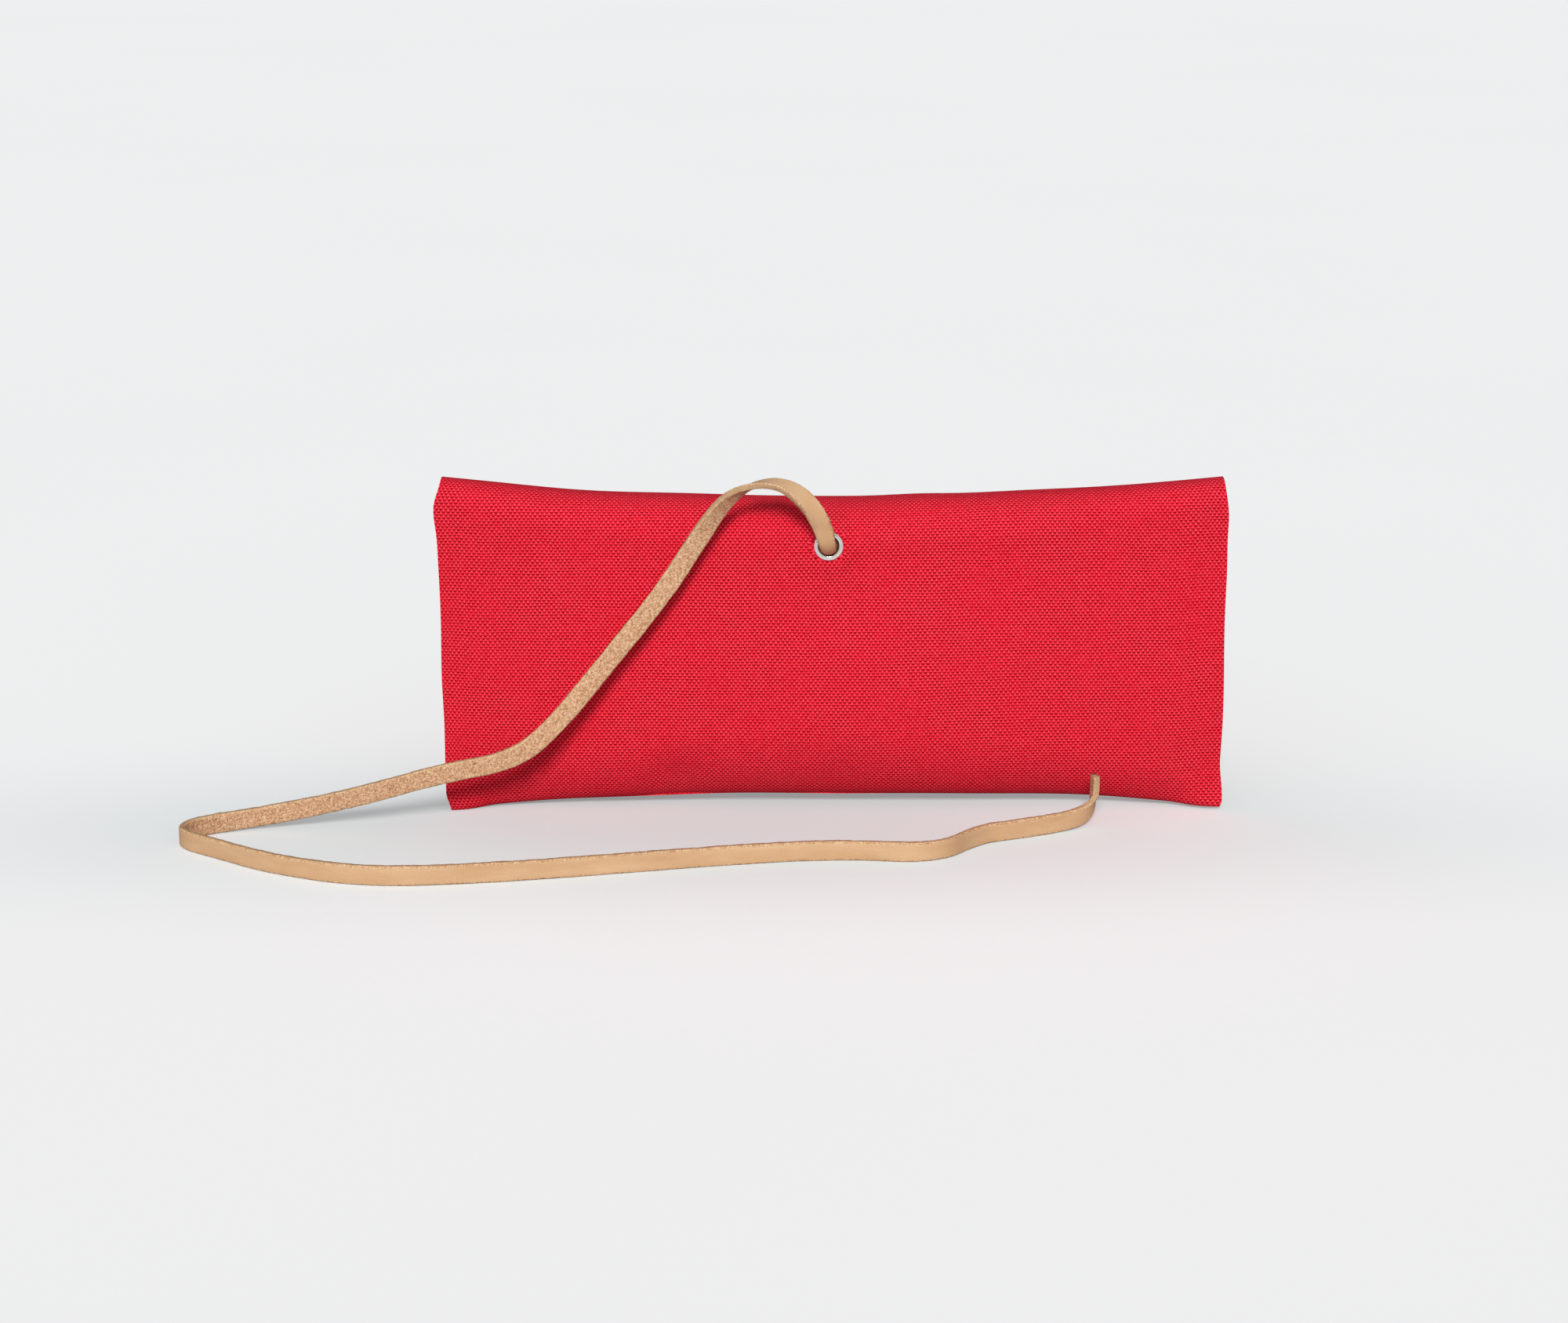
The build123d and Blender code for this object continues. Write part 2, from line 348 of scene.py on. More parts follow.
def leather_grain():
    """The lace's smooth side: pale tan, faintly clouded, with pebbled grain and open pores."""
    paint = Paint("leather_grain")
    place, along, across = paint.attribute("cloth")
    long_way = paint.place(paint.math("MULTIPLY", along, 0.25), across)
    cloud = paint.noise(long_way, 0.22, 3.0, 0.55)
    pebbles = paint.noise(paint.place(paint.math("MULTIPLY", along, 1.5), across), 2.4, 3.0, 0.6)
    pores = paint.noise(place, 5.0, 3.0, 0.65)
    colour = paint.ramp(cloud, (0.3, (0.63, 0.37, 0.19)), (0.7, (0.73, 0.47, 0.27)))
    speck = paint.ramp(pores, (0.28, (0.74, 0.68, 0.62)), (0.44, (1.0, 1.0, 1.0)))
    colour = paint.mix(0.6, colour, speck, "MULTIPLY")
    shade = paint.ramp(pebbles, (0.34, (0.88, 0.86, 0.84)), (0.56, (1.0, 1.0, 1.0)))
    colour = paint.mix(0.8, colour, shade, "MULTIPLY")
    fine = paint.bump(pores, 0.00005, 0.5)
    return paint.set(
        Base_Color=colour,
        Roughness=paint.spread(pores, 0.3, 0.7, 0.46, 0.6),
        Normal=paint.bump(pebbles, 0.00016, 0.6, fine),
        Specular_IOR_Level=0.32,
    )


def raw_fibre(name, stops, lean_amount, depth):
    """Matted leather fibre: short strands that lean this way and that, in clumps."""
    paint = Paint(name)
    place, along, across = paint.attribute("cloth")
    drift = paint.noise(place, 0.9, 2.0)
    lean = paint.math("MULTIPLY_ADD", drift, lean_amount, across)
    strands = paint.noise(paint.place(paint.math("MULTIPLY", along, 0.9), lean), 3.6, 5.0, 0.7)
    clumps = paint.noise(place, 2.0, 3.0, 0.6)
    both = paint.math("MULTIPLY_ADD", clumps, 0.45, paint.math("MULTIPLY", strands, 0.6))
    return paint.set(
        Base_Color=paint.ramp(both, *stops),
        Roughness=paint.spread(strands, 0.3, 0.7, 0.8, 0.95),
        Normal=paint.bump(both, depth, 0.8),
        Specular_IOR_Level=0.15,
    )


def leather_flesh():
    """The lace's raw back, mottled from pale straw to brown."""
    stops = (
        (0.4, (0.30, 0.115, 0.045)),
        (0.47, (0.58, 0.29, 0.145)),
        (0.54, (0.74, 0.43, 0.245)),
        (0.62, (0.96, 0.70, 0.47)),
    )
    return raw_fibre("leather_flesh", stops, 1.6, 0.0007)


def leather_edge():
    """The lace's cut edge: packed fibre, redder than either side."""
    stops = ((0.38, (0.30, 0.13, 0.055)), (0.5, (0.60, 0.35, 0.18)), (0.62, (0.86, 0.62, 0.39)))
    return raw_fibre("leather_edge", stops, 0.8, 0.0004)


def nickel():
    """Polished nickel plate with faint rubbing marks round the rim."""
    paint = Paint("nickel")
    texture = paint.node("TexCoord").outputs["Object"]
    marks = paint.noise(texture, 900.0, 3.0, 0.6)
    smudge = paint.noise(texture, 160.0, 2.0)
    colour = paint.ramp(smudge, (0.3, (0.84, 0.82, 0.78)), (0.7, (0.94, 0.92, 0.89)))
    return paint.set(
        Base_Color=colour,
        Metallic=1.0,
        Roughness=paint.spread(marks, 0.35, 0.7, 0.1, 0.2),
        Normal=paint.bump(marks, 0.00002, 0.4),
    )


def sewing_thread():
    """Red thread, with its twist as slanting bands of painted light and shade."""
    paint = Paint("sewing_thread")
    place, along, across = paint.attribute("cloth")
    sideways = paint.math("MULTIPLY", across, 7.0)
    twist = paint.math("SINE", paint.math("MULTIPLY_ADD", along, 9.0, sideways))
    light = paint.math("MULTIPLY_ADD", twist, 0.5, 0.5)
    colour = paint.ramp(light, (0.1, (0.46, 0.012, 0.026)), (0.8, (0.92, 0.06, 0.09)))
    return paint.set(
        Base_Color=colour,
        Roughness=paint.spread(twist, -1.0, 1.0, 0.62, 0.45),
        Normal=paint.bump(twist, 0.00003, 0.7),
    )


painted_shadow_offset = (0.03, 0.025)  # the grey patch of painted shadow in front of the pouch, in metres
painted_shadow_size = (0.165, 0.05)
floor_glow = 0.285


def pale_floor():
    """A matt pale floor, lit a little from below, with a painted shadow that greys it close in front of
    the pouch.
    It throws less light back up than it shows."""
    paint = Paint("pale_floor")
    place = paint.node("TexCoord").outputs["Object"]
    split = paint.node("SeparateXYZ")
    paint.put(place, split.inputs[0])
    haze = paint.noise(place, 3.0, 2.0)
    squares = []
    for side, offset, size in zip(split.outputs, painted_shadow_offset, painted_shadow_size):
        off = paint.math("DIVIDE", paint.math("ADD", side, offset), size)
        squares.append(paint.math("MULTIPLY", off, off))
    away = paint.math("ADD", *squares)
    near = paint.math("EXPONENT", paint.math("MULTIPLY", away, -1.0))
    # Painted shadow: the floor's colour and its glow turn grey towards the pouch's front
    painted_shadow_tone = paint.mix(near, (1.0, 1.0, 1.0), (0.72, 0.775, 0.775))
    seen = paint.ramp(haze, (0.3, (0.785, 0.795, 0.805)), (0.7, (0.795, 0.805, 0.815)))
    seen = paint.mix(1.0, seen, painted_shadow_tone, "MULTIPLY")
    rays = paint.node("LightPath").outputs
    return paint.set(
        Base_Color=paint.mix(rays["Is Diffuse Ray"], seen, (0.36, 0.36, 0.37)),
        Roughness=0.8,
        Specular_IOR_Level=0.0,
        Emission_Color=painted_shadow_tone,
        Emission_Strength=paint.math("MULTIPLY", rays["Is Camera Ray"], floor_glow),
    )


# Each cloth's own colour in the middle, with painted shade for its hollows and painted highlight for its
# bumps
red_painted_shade, red_middle, red_painted_highlight = (0.30, 0.0005, 0.004), (0.74, 0.011, 0.029), (1.0, 0.085, 0.13)
canvas_paint = woven("red_canvas", 1.18, 0.755, red_painted_shade, red_middle, red_painted_highlight, 0.00012, 0.9)
straw_painted_shade, straw_middle, straw_painted_highlight = (0.42, 0.33, 0.22), (0.68, 0.58, 0.43), (0.86, 0.78, 0.62)
lining_paint = woven("natural_lining", 0.72, 0.4, straw_painted_shade, straw_middle, straw_painted_highlight, 0.00006, 0.88)
grain_paint, flesh_paint, edge_paint = leather_grain(), leather_flesh(), leather_edge()
nickel_paint, thread_paint = nickel(), sewing_thread()


# ---------------------------------------------------------------- camera
# It stands 850 mm off, 15 degrees above the horizon and square to the eyelet panel.
camera_rise = radians(15.0)
camera_distance = 850.0
aim = Vector((-12.0, -5.4, 39.0))
camera_data = bpy.data.cameras.new("camera")
camera_data.lens = 76.5
camera_data.sensor_width = 36.0
camera_data.sensor_fit = "HORIZONTAL"
camera_data.clip_start = 0.05
camera_data.clip_end = 50.0
camera = new_object("camera", camera_data)
camera.location = (aim + Vector((0, -cos(camera_rise), sin(camera_rise))) * camera_distance) * MM
camera.rotation_euler = (pi / 2 - camera_rise, 0.0, 0.0)
bpy.context.scene.camera = camera

# ---------------------------------------------------------------- tie lace
# The route is the one that the CAD tube follows, in metres.
lace_route = [
    (-0.0008, -0.00856, 0.07036),
    (-0.0008, -0.01499, 0.07090),
    (-0.0024, -0.0180, 0.0774),
    (-0.0064, -0.0202, 0.0842),
    (-0.0124, -0.0208, 0.0886),
    (-0.0196, -0.0204, 0.0884),
    (-0.0264, -0.0194, 0.0844),
    (-0.0330, -0.0184, 0.0746),
    (-0.0424, -0.0188, 0.0598),
    (-0.0556, -0.0198, 0.0436),
    (-0.0692, -0.0224, 0.0270),
    (-0.0796, -0.0252, 0.0186),
    (-0.0980, -0.0272, 0.0158),
    (-0.1200, -0.0254, 0.0088),
    (-0.1430, -0.0232, 0.0034),
    (-0.1566, -0.0272, 0.0025),
    (-0.1624, -0.0332, 0.0025),
    (-0.1612, -0.0394, 0.0025),
    (-0.1520, -0.0464, 0.0025),
    (-0.1360, -0.0590, 0.0025),
    (-0.1120, -0.0688, 0.0025),
    (-0.0820, -0.0654, 0.0025),
    (-0.0500, -0.0578, 0.0025),
    (-0.0240, -0.0514, 0.0025),
    (0.0020, -0.0472, 0.0025),
    (0.0256, -0.0508, 0.0025),
    (0.0366, -0.0352, 0.0025),
    (0.0462, -0.0314, 0.0025),
    (0.0592, -0.0250, 0.0025),
    (0.0650, -0.0208, 0.0034),
    (0.0670, -0.0188, 0.0076),
    (0.0668, -0.0184, 0.0126),
]
# Which way the smooth grain side faces at points of the route, counted from the knot
grain_faces = {
    0: (0, -0.2, -1),
    1: (0, -0.5, -1),
    2: (0, -1, -0.4),
    3: (0.5, -0.8, 0.3),
    4: (0.5, -0.25, 0.8),
    5: (-0.2, 0.15, 1),
    6: (-0.5, 0.7, 0.5),
    7: (-0.2, 1, 0.1),
    8: (0, 1, 0),
    13: (0, 1, 0.1),
    14: (0, 1, 0),
    15: (-0.5, 0.85, 0),
    16: (-1, 0.25, 0),
    17: (-0.9, -0.45, 0),
    18: (-0.45, -0.9, 0),
    19: (-0.5, -0.9, 0),
    27: (0.3, -1, 0),
    28: (0.35, -1, 0),
    29: (0.9, -0.55, -0.1),
    30: (1, 0.1, 0),
    31: (1, 0.12, 0),
}
lace_width = 5.0
lace_thickness = 1.6
lace_step = 0.5  # between the strip's sections
lace_uneven = 0.012
lace_corner = 0.32  # the cut edges' rounding, as a share of the thickness
edge_points = set(range(8, 13)) | set(range(20, 26))  # a section's points on its two cut edges
back_points = set(range(13, 20))  # and on its raw back
edge_rag = 0.045
back_rag = 0.05
bore_width = 4.1  # the eyelet's bore squeezes the lace to this width
cup_depth = 1.0  # and bends its grain side out by this much
bore_drop = 0.65  # how far below its line the strip lies in the bore


def curve_points(name, route):
    """Points read from the smooth line that has the route's points as its control points."""
    data = bpy.data.curves.new(name, "CURVE")
    data.dimensions = "3D"
    data.resolution_u = 24
    spline = data.splines.new("NURBS")
    spline.points.add(len(route) - 1)
    for point, place in zip(spline.points, route):
        point.co = (*place, 1.0)
    spline.order_u = 3
    spline.use_endpoint_u = True
    guide = new_object(name, data)
    graph = bpy.context.evaluated_depsgraph_get()
    mesh = bpy.data.meshes.new_from_object(guide.evaluated_get(graph), depsgraph=graph)
    points = np.array([vertex.co for vertex in mesh.vertices], float)
    bpy.data.objects.remove(guide)
    bpy.data.meshes.remove(mesh)
    return points


def lengths_along(points):
    return np.concatenate(([0.0], np.cumsum(np.linalg.norm(np.diff(points, axis=0), axis=1))))


def evenly(points, step):
    """The same line with its points evenly spaced."""
    length = lengths_along(points)
    count = max(2, int(round(length[-1] / step)) + 1)
    wanted = np.linspace(0.0, length[-1], count)
    return np.stack([np.interp(wanted, length, points[:, k]) for k in range(3)], axis=1)


def section_ring(width, thickness, corner):
    """A flat strip's cross-section as points (across, up), counted round from the grain side."""
    flat, rise = width / 2 - corner, thickness / 2 - corner
    side = np.linspace(-flat, flat, 7)

    def rounded(way, turns):
        """Points on the two rounded corners of one cut edge. way is 1 or -1."""
        ways = [(cos(radians(turn)), sin(radians(turn))) for turn in turns]
        return [(way * flat + corner * a, copysign(rise, h) + corner * h) for a, h in ways]

    ring = [(a, thickness / 2) for a in side]
    ring += rounded(1, (67.5, 45.0, 22.5, -22.5, -45.0, -67.5))
    ring += [(a, -thickness / 2) for a in side[::-1]]
    return ring + rounded(-1, (247.5, 225.0, 202.5, 157.5, 135.0, 112.5))


def strip(name, line, facing, width, thickness, uneven, cup=None):
    """A flat strip that follows line, with its grain side towards facing at each point. Its width
    swells and shrinks a little, and its cut edges and raw back are ragged. cup, from 0 to 1 at each
    point, draws it in to bore_width and bends its grain side out, as the eyelet's bore does."""
    ring = section_ring(width, thickness, thickness * lace_corner)
    count = len(ring)
    tangent = np.gradient(line, axis=0)
    tangent /= np.linalg.norm(tangent, axis=1)[:, None]
    up = facing - (facing * tangent).sum(1)[:, None] * tangent
    up /= np.linalg.norm(up, axis=1)[:, None]
    across = np.cross(tangent, up)
    length = lengths_along(line)
    chance = np.random.default_rng(len(line))
    ragged = chance.normal(0.0, 1.0, (len(line), count))
    ragged[1:-1] = 0.6 * ragged[1:-1] + 0.2 * (ragged[2:] + ragged[:-2])
    points, cloth = [], []
    for i in range(len(line)):
        wave = sin(length[i] * 0.31) + 0.6 * sin(length[i] * 0.83 + 1.0) + 0.5 * sin(length[i] * 2.3)
        held = 0.0 if cup is None else cup[i]
        swell = (1.0 + uneven * wave) * (1.0 - held * (1.0 - bore_width / lace_width))
        for k, (a, h) in enumerate(ring):
            edge_shift = ragged[i, k] * edge_rag if k in edge_points else 0.0
            back_shift = ragged[i, k] * back_rag if k in back_points else 0.0
            bow = held * cup_depth * (1.0 - (2.0 * a / width) ** 2)
            points.append(
                line[i] + across[i] * (a * swell + edge_shift) + up[i] * (h + back_shift + bow)
            )
            cloth.append((length[i], a if h >= 0 else a + 3 * width, h))
    faces, kinds = [], []  # a face's kind is 0 for grain, 1 for flesh and 2 for a cut edge
    for i in range(len(line) - 1):
        for k in range(count):
            j = (k + 1) % count
            faces.append((i * count + k, i * count + j, (i + 1) * count + j, (i + 1) * count + k))
            kinds.append(0 if k < 6 else (1 if 13 <= k < 19 else 2))
    for end in (0, len(line) - 1):
        start = end * count
        loop = list(range(start, start + count))
        faces.append(loop if end else loop[::-1])
        kinds.append(2)
    mesh = mesh_of(name, points, faces, cloth)
    for paint in (grain_paint, flesh_paint, edge_paint):
        mesh.materials.append(paint)
    mesh.polygons.foreach_set("material_index", kinds)
    return new_object(name, mesh)


def facing_along(route, line, hints):
    """The direction that each point of line gets from the route's hints, by distance along."""
    marks, ways = [], []
    length = lengths_along(line)
    for index, way in sorted(hints.items()):
        near = np.linalg.norm(line - np.array(route[index]) / MM, axis=1)
        guess = lengths_along(np.array(route) / MM)
        share = guess[index] / guess[-1] * length[-1]
        near = near + 0.05 * np.abs(length - share)
        marks.append(length[int(near.argmin())])
        ways.append(np.array(way, float) / np.linalg.norm(way))
    ways = np.array(ways)
    return np.stack([np.interp(length, marks, ways[:, k]) for k in range(3)], axis=1)


lace_line = evenly(curve_points("lace_guide", lace_route) / MM, lace_step)
lace_facing = facing_along(lace_route, lace_line, grain_faces)
# The strip lies on the lower side of the eyelet's bore, and rises to its line as it comes out.
way_out = Vector(lace_route[1]) - Vector(lace_route[0])
bore_down = np.array(Vector((0.0, -way_out.z, way_out.y)).normalized())
in_bore = 1.0 - smooth(lengths_along(lace_line), 5.0, 13.0)
strip_line = lace_line + bore_drop * in_bore[:, None] * bore_down
lace = strip(
    "tie_lace_strip", strip_line, lace_facing, lace_width, lace_thickness, lace_uneven, in_bore
)
takes_over(lace, "pouch", "tie_lace")

# ---------------------------------------------------------------- stopper knot behind the washer
knot_size = 1.45
knot_loop = 1.25  # the loops' size against the knot's
knot_width, tail_width, knot_thickness = 3.0, 4.6, 1.5
knot_steps = np.linspace(0.0, 2 * pi, 121)[:-1]
knot_centre = Vector(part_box("lace_knot")[0]) / MM + Vector(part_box("lace_knot")[1]) / MM
knot_centre = np.array(knot_centre / 2)
knot_line = np.stack(
    [
        knot_size * (np.sin(knot_steps) + knot_loop * np.sin(2 * knot_steps)),
        -knot_loop * knot_size * np.sin(3 * knot_steps),
        knot_size * (np.cos(knot_steps) - knot_loop * np.cos(2 * knot_steps)),
    ],
    axis=1,
)
knot_line = np.vstack([knot_line, knot_line[:1]]) + knot_centre
knot_facing = knot_line - knot_centre
knot = strip("lace_stopper_knot", knot_line, knot_facing, knot_width, knot_thickness, 0.0)
# The lace's short end, left hanging from the knot
tail_drop = np.linspace(0.0, 9.0, 19)
tail_line = knot_centre + np.stack(
    [1.6 + 0.12 * tail_drop, 0.6 * np.sin(tail_drop / 5.0), -2.6 - tail_drop], axis=1
)
tail_facing = np.tile((0.15, 1.0, 0.0), (len(tail_line), 1))
tail = strip("lace_knot_tail", tail_line, tail_facing, tail_width, knot_thickness, 0.0)
for piece in (knot, tail):
    takes_over(piece, "pouch", "lace_knot")


# ---------------------------------------------------------------- form of the pouch
def taper(middle, end, x):
    return middle + (end - middle) * (x / half_width) ** 2


def corner_radius(x):
    return corner_share * taper(middle_depth, end_depth, x)


def front_y(x):
    radius = corner_radius(x)
    rise = max(fold_z - taper(middle_top, end_top, x) + radius, 0.0)
    return fold_y - radius + sqrt(radius**2 - rise**2)


def top_z(x):
    """The top fold's height. It sags a little more left of the eyelet than right of it."""
    raised = 0.45 * hump(x, 22.0, 10.0)
    sagging = 0.75 * hump(x, -58.0, 26.0)
    return taper(middle_top, end_top, x) + raised - sagging


def bottom_z(x):
    """The bottom fold's height. The right half is drawn up a little."""
    return max(taper(middle_bottom, end_bottom, x), 0.0) + 1.0 * float(smooth(x, 0.0, 80.0))


def pouch_depth(x):
    """From the eyelet panel to the pocket wall. The two come together at the side seams."""
    open_depth = taper(middle_depth, end_depth, x) - flap_room
    return open_depth + (seam_depth - open_depth) * float(smooth(abs(x), seam_start, half_width))


def foot_radius(x):
    return min(corner_radius(x), 0.47 * pouch_depth(x))


def arc(centre_y, centre_z, radius, start, turn, count=20, height=None):
    """Part of a circle, or of an upright ellipse where height is given."""
    angles = np.radians(np.linspace(start, start + turn, count))
    return np.stack(
        [centre_y + radius * np.cos(angles), centre_z + (height or radius) * np.sin(angles)], axis=1
    )


def foot_height(x):
    """The eyelet panel turns under in a longer curve than the pocket wall does."""
    return foot_radius(x) * foot_stretch


def belly(x, z):
    """How far the walls stand forward between the bottom and the fold, most near mid height."""
    share = np.clip(z / belly_top, 0.0, 1.0)
    return belly_depth * (1.0 - (x / half_width) ** 4) * np.sin(pi * share**0.8) ** 1.5


def corner_lean(x, z):
    """How far the bottom corners are drawn back by the side seams, just above the floor."""
    low = smooth(z, 0.0, 5.0) * (1.0 - smooth(z, 5.0, tuck_height))
    return corner_tuck * low * smooth(abs(x), 55.0, half_width)


def settle(x, path):
    path[:, 0] += corner_lean(x, path[:, 1]) - belly(x, path[:, 1])
    return path


def panel_section(x, inset, hem_turned):
    """From just inside the bottom fold up the eyelet panel, over the top and down the flap."""
    front, radius, foot, rise = front_y(x), corner_radius(x), foot_radius(x), foot_height(x)
    back = front + taper(middle_depth, end_depth, x)
    top, low = top_z(x), bottom_z(x)
    start = 180 + seam_angle
    under = arc(front + foot, low + rise, foot - inset, start, -seam_angle, 20, rise - inset)
    face = np.stack([np.full(30, front + inset), np.linspace(low + rise, top - radius, 30)], axis=1)
    runs = [
        settle(x, np.vstack([under, face[1:-1]])),
        arc(front + radius, top - radius, radius - inset, 180, -90),
        arc(back - radius, top - radius, radius - inset, 90, -90),
    ]
    end = (back - inset, lining_end_z)
    runs.append(hem(back - inset, flap_hem_z, -1) if hem_turned else np.array([end]))
    return np.vstack(runs)


def pocket_section(x, inset, hem_turned):
    """From the mouth down the pocket wall and round the bottom to where the eyelet panel starts."""
    front, foot, rise = front_y(x), foot_radius(x), foot_height(x)
    low, back = bottom_z(x), front + pouch_depth(x)
    first = hem(back - inset, mouth_z, 1)[::-1] if hem_turned else np.array([(back - inset, lining_top)])
    wall = np.stack([np.full(20, back - inset), np.linspace(lining_top, low + foot, 20)], axis=1)
    runs = [
        wall[1:-1],
        arc(back - foot, low + foot, foot - inset, 0, -90),
        arc(front + foot, low + rise, foot - inset, 270, seam_angle - 90, 8, rise - inset),
    ]
    return settle(x, np.vstack([first, *runs]))


def hem(y, z, way):
    """The cloth turned in on itself at height z: way is 1 for a hem at the top, -1 at the bottom."""
    turn = arc(y - hem_radius, z - way * hem_radius, hem_radius, 0, way * 180, 12)
    return np.vstack([turn, [(y - 2 * hem_radius, z - way * hem_width)]])


def side_shift(z, side):
    """How far an edge stands in: at the top fold, at the bottom corner, and unevenly. side is below
    0 at the left, where the corner is worn round, and above it at the right, where it splays out."""
    uneven = 0.2 * np.sin(z / 7.5 + 1.0)
    if side < 0:
        turned_in = 0.9 * smooth(z, 80.0, end_top + 0.5)
        swell = 0.75 * hump(z, 79.0, 5.0)
        waist = 0.5 * hump(z, 24.0, 10.0)
        worn = 1.35 * (1.0 - smooth(z, 0.0, 5.0))
        return 0.92 + turned_in + uneven - swell + waist + worn
    turned_in = 1.1 * smooth(z, 76.0, end_top + 0.5)
    waist = 0.35 * hump(z, 72.0, 7.0)
    splay = 0.95 * (1.0 - smooth(z, 4.0, 14.0))
    worn = 0.8 * (1.0 - smooth(z, 0.0, 3.0))
    return 0.2 + turned_in + uneven + waist - splay + worn


def rumple(x, s):
    """Soft unevenness of slack cloth along its normal."""
    slow = 0.26 * np.sin(x / 31.0 + 0.6) * np.sin(s / 17.0 + 0.4)
    fast = 0.1 * np.sin(x / 12.5 + s / 21.0) + 0.07 * np.sin(x / 7.1 - s / 13.0 + 2.0)
    return slow + fast


# Soft dents in the eyelet panel: across, up the cloth from its bottom seam, radius and depth
dents = ((-39.0, 8.5, 8.0, 1.3), (3.0, 56.0, 8.5, 0.75), (2.0, 9.0, 10.0, 0.5), (55.0, 30.0, 16.0, 0.5))


def dented(x, s):
    depth = np.zeros_like(s)
    for across, up, radius, deep in dents:
        depth += deep * np.exp(-((x - across) ** 2 + (s - up) ** 2) / radius**2)
    return depth


# ---------------------------------------------------------------- eyelet's place on the panel
eyelet_x = 0.5 * (eyelet_low.x + eyelet_high.x)
eyelet_z = 70.6
eyelet_reach = 6.0  # cloth farther than this from the eyelet's plane is not held by it
middle_radius = corner_radius(0)
eyelet_rise = eyelet_z - (middle_top - middle_radius)
eyelet_back = sqrt(middle_radius**2 - eyelet_rise**2)
eyelet_tilt = atan2(eyelet_rise, eyelet_back)
eyelet_centre = np.array([eyelet_x, front_y(0) + middle_radius - eyelet_back, eyelet_z])
eyelet_out = np.array([0.0, -cos(eyelet_tilt), sin(eyelet_tilt)])
eyelet_up = np.array([0.0, sin(eyelet_tilt), cos(eyelet_tilt)])


def from_eyelet(points):
    """Each point's height over the eyelet's plane and its distance from the eyelet's axis."""
    offset = points - eyelet_centre
    height = offset @ eyelet_out
    return height, np.linalg.norm(offset - height[:, None] * eyelet_out, axis=1)


def press_flat(points, inset):
    """The eyelet holds the cloth flat round it, and the cloth puckers a little farther out. The
    lining stands clear of the puckers."""
    height, away = from_eyelet(points)
    near = np.abs(height) < eyelet_reach
    hold = (1.0 - smooth(away, 4.0, 9.0)) * near
    angle = np.arctan2((points - eyelet_centre) @ eyelet_up, points[:, 0] - eyelet_x)
    pucker = 0.16 * np.cos(5 * angle + 0.6) * hump(away, 7.5, 2.2) * near
    clear = 0.35 * hump(away, 8.0, 3.0) * near if inset else 0.0
    return points + ((-inset - height) * hold + pucker - clear)[:, None] * eyelet_out


def punch(points, faces):
    """Leaves out the faces inside the eyelet's hole and draws the hole's edge into a circle."""
    height, away = from_eyelet(points)
    inside = (away < hole_radius) & (np.abs(height) < eyelet_reach)
    cut = [face for face in faces if inside[list(face)].any()]
    kept = [face for face in faces if not inside[list(face)].any()]
    rim = {k for face in cut for k in face} & {k for face in kept for k in face}
    for k in rim:
        axis_point = eyelet_centre + eyelet_out * height[k]
        points[k] = axis_point + (points[k] - axis_point) * (hole_radius / away[k])
    return kept


# ---------------------------------------------------------------- cloth
def cloth_sheet(name, section, inset, grid, half_span, hem_turned, from_end):
    """A one-sided sheet whose sections across X are given. Its cloth attribute holds each point's
    place on the flat cloth, counted from the bottom seam, and 1 where it is sewn to the next."""
    columns, rows = grid
    points, cloth = [], []
    for x in np.linspace(-half_span, half_span, columns):
        path = section(x, inset, hem_turned)
        run = np.concatenate(([0.0], np.cumsum(np.linalg.norm(np.diff(path, axis=0), axis=1))))
        along = np.linspace(0.0, run[-1], rows)
        y, z = np.interp(along, run, path[:, 0]), np.interp(along, run, path[:, 1])
        s = along - run[-1] if from_end else along
        tangent = np.stack([np.gradient(y), np.gradient(z)], axis=1)
        tangent /= np.linalg.norm(tangent, axis=1)[:, None]
        lift = rumple(x, s) - (0.0 if from_end else dented(x, s))
        side = x * (1.0 - side_shift(z, x) / half_width * (abs(x) / half_width) ** 8)
        sewn = np.zeros(rows)
        sewn[-1 if from_end else 0] = 1.0
        points.append(np.stack([side, y - tangent[:, 1] * lift, z + tangent[:, 0] * lift], axis=1))
        cloth.append(np.stack([np.full(rows, x), s, sewn], axis=1))
    points, cloth = np.concatenate(points), np.concatenate(cloth)
    faces = grid_faces(columns, rows)
    points = press_flat(points, inset)
    if not from_end:
        faces = punch(points, faces)
    points[:, 2] = np.maximum(points[:, 2], inset)
    return new_object(name, mesh_of(name, points, faces, cloth))


def thicken(piece, thickness, rounding, paint):
    """Gives a sheet its thickness, inwards, and rounds its edges but not the sewn ones."""
    solid = piece.modifiers.new("solid", "SOLIDIFY")
    solid.thickness = thickness * MM
    solid.offset = -1.0
    applied(piece)
    shape = bmesh.new()
    shape.from_mesh(piece.data)
    cloth = shape.verts.layers.float_vector["cloth"]
    weight = shape.edges.layers.float.new("bevel_weight_edge")
    for edge in shape.edges:
        sewn = all(vertex[cloth][2] > 0.5 for vertex in edge.verts)
        if not sewn and len(edge.link_faces) == 2 and edge.calc_face_angle() > radians(60):
            edge[weight] = 1.0
    shape.to_mesh(piece.data)
    shape.free()
    bevel = piece.modifiers.new("round", "BEVEL")
    bevel.width = rounding * MM
    bevel.segments = 3
    bevel.limit_method = "WEIGHT"
    applied(piece)
    piece.data.materials.clear()
    piece.data.materials.append(paint)
    shade_smooth(piece.data)
    piece.data.set_sharp_from_angle(angle=radians(50))
    return piece


